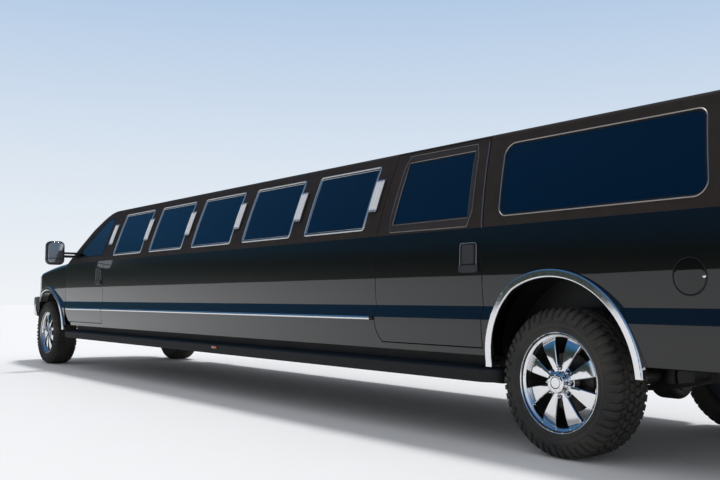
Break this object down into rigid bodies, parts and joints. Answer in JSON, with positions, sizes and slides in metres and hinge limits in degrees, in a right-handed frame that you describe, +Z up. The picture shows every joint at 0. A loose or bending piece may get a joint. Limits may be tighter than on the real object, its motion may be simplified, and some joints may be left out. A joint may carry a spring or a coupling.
{
  "type": "stretch limousine",
  "caption": "Stretched sport-utility limousine with hinged doors, lids, steering and rolling wheels.",
  "frame": {"origin": "on the floor, in the middle of the overall length and width", "axes": "+X forward, +Y to the car's left, +Z up"},
  "size_m": [10.8378, 2.76, 1.955],
  "materials": {
    "frame_black": "satin black paint",
    "body_black": "gloss black paint",
    "cover_grey": "matt textured covering",
    "chrome": "polished chrome",
    "glass_dark": "dark tinted glass",
    "lamp_clear": "clear lens",
    "lamp_red": "red lens",
    "opera_clear": "ribbed clear lens",
    "plastic_black": "grained black plastic",
    "cast_metal": "cast and machined",
    "steel_raw": "aluminised steel",
    "tyre_rubber": "moulded rubber",
    "leather": "black leather",
    "trim_dark": "padded trim"
  },
  "bodies": {
    "chassis": {"frame_rails": "frame_black", "floor_pan": "frame_black", "body_sides": "body_black", "roof_panel": "cover_grey", "front_fenders": "body_black", "wheel_liners": "plastic_black", "grille": "chrome", "headlamps": "lamp_clear", "taillamps": "lamp_red", "front_bumper": "chrome", "rear_bumper": "chrome", "fixed_glass": "glass_dark", "opera_lights": "opera_clear", "arch_trims": "chrome", "running_boards": "plastic_black", "fuel_tank": "frame_black", "exhaust": "steel_raw", "engine_block": "cast_metal", "driveshaft": "steel_raw", "front_axle": "cast_metal", "rear_axle": "cast_metal", "dashboard": "trim_dark", "seats": "leather", "partition": "trim_dark"},
    "knuckle_left": {"knuckle_left": "cast_metal"},
    "knuckle_right": {"knuckle_right": "cast_metal"},
    "wheel_front_left": {"rim_front_left": "chrome", "tyre_front_left": "tyre_rubber"},
    "wheel_front_right": {"rim_front_right": "chrome", "tyre_front_right": "tyre_rubber"},
    "wheel_rear_left": {"rim_rear_left": "chrome", "tyre_rear_left": "tyre_rubber"},
    "wheel_rear_right": {"rim_rear_right": "chrome", "tyre_rear_right": "tyre_rubber"},
    "steering_wheel": {"steering_wheel": "leather"},
    "front_door_left": {"front_door_left": "body_black", "front_door_glass_left": "glass_dark", "mirror_left": "plastic_black"},
    "rear_door_left": {"rear_door_left": "body_black", "rear_door_glass_left": "glass_dark"},
    "front_door_right": {"front_door_right": "body_black", "front_door_glass_right": "glass_dark", "mirror_right": "plastic_black"},
    "rear_door_right": {"rear_door_right": "body_black", "rear_door_glass_right": "glass_dark"},
    "hood": {"hood": "body_black"},
    "liftgate": {"liftgate": "cover_grey", "liftgate_glass": "glass_dark"},
    "lower_door_left": {"lower_door_left": "body_black"},
    "lower_door_right": {"lower_door_right": "body_black"}
  },
  "joints": [
    {"name": "steer_left", "type": "hinge", "parent": "chassis", "child": "knuckle_left", "pos_m": [4.459, 0.79, 0.4], "axis": [0, 0, 1], "range_deg": [-30, 30]},
    {"name": "steer_right", "type": "hinge", "parent": "chassis", "child": "knuckle_right", "pos_m": [4.459, -0.79, 0.4], "axis": [0, 0, 1], "range_deg": [-30, 30]},
    {"name": "wheel_front_left_spin", "type": "hinge", "parent": "knuckle_left", "child": "wheel_front_left", "pos_m": [4.459, 0.8575, 0.4], "axis": [0, 1, 0], "continuous": true},
    {"name": "wheel_front_right_spin", "type": "hinge", "parent": "knuckle_right", "child": "wheel_front_right", "pos_m": [4.459, -0.8575, 0.4], "axis": [0, 1, 0], "continuous": true},
    {"name": "wheel_rear_left_spin", "type": "hinge", "parent": "chassis", "child": "wheel_rear_left", "pos_m": [-4.103, 0.8575, 0.4], "axis": [0, 1, 0], "continuous": true},
    {"name": "wheel_rear_right_spin", "type": "hinge", "parent": "chassis", "child": "wheel_rear_right", "pos_m": [-4.103, -0.8575, 0.4], "axis": [0, 1, 0], "continuous": true},
    {"name": "steering_wheel_turn", "type": "hinge", "parent": "chassis", "child": "steering_wheel", "pos_m": [3.3, 0.4, 1.16], "axis": [-0.9063, 0, 0.4226], "range_deg": [-480, 480]},
    {"name": "front_door_left_swing", "type": "hinge", "parent": "chassis", "child": "front_door_left", "pos_m": [3.757, 1.008, 1.035], "axis": [0, 0, -1], "range_deg": [0, 65]},
    {"name": "rear_door_left_swing", "type": "hinge", "parent": "chassis", "child": "rear_door_left", "pos_m": [-2.53, 1.008, 1.035], "axis": [0, 0, -1], "range_deg": [0, 65]},
    {"name": "front_door_right_swing", "type": "hinge", "parent": "chassis", "child": "front_door_right", "pos_m": [3.757, -1.008, 1.035], "axis": [0, 0, 1], "range_deg": [0, 65]},
    {"name": "rear_door_right_swing", "type": "hinge", "parent": "chassis", "child": "rear_door_right", "pos_m": [-2.53, -1.008, 1.035], "axis": [0, 0, 1], "range_deg": [0, 65]},
    {"name": "hood_lift", "type": "hinge", "parent": "chassis", "child": "hood", "pos_m": [3.96, 0, 1.335], "axis": [0, -1, 0], "range_deg": [0, 50]},
    {"name": "liftgate_lift", "type": "hinge", "parent": "chassis", "child": "liftgate", "pos_m": [-5.207, 0, 1.842], "axis": [0, 1, 0], "range_deg": [0, 90]},
    {"name": "lower_door_left_swing", "type": "hinge", "parent": "chassis", "child": "lower_door_left", "pos_m": [-5.251, 0.86, 0.9], "axis": [0, 0, -1], "range_deg": [0, 90]},
    {"name": "lower_door_right_swing", "type": "hinge", "parent": "chassis", "child": "lower_door_right", "pos_m": [-5.251, -0.86, 0.9], "axis": [0, 0, 1], "range_deg": [0, 90]}
  ],
  "couplings": [
    {"joint": "steer_right", "follows": "steer_left", "ratio": 1},
    {"joint": "steering_wheel_turn", "follows": "steer_left", "ratio": 16}
  ]
}
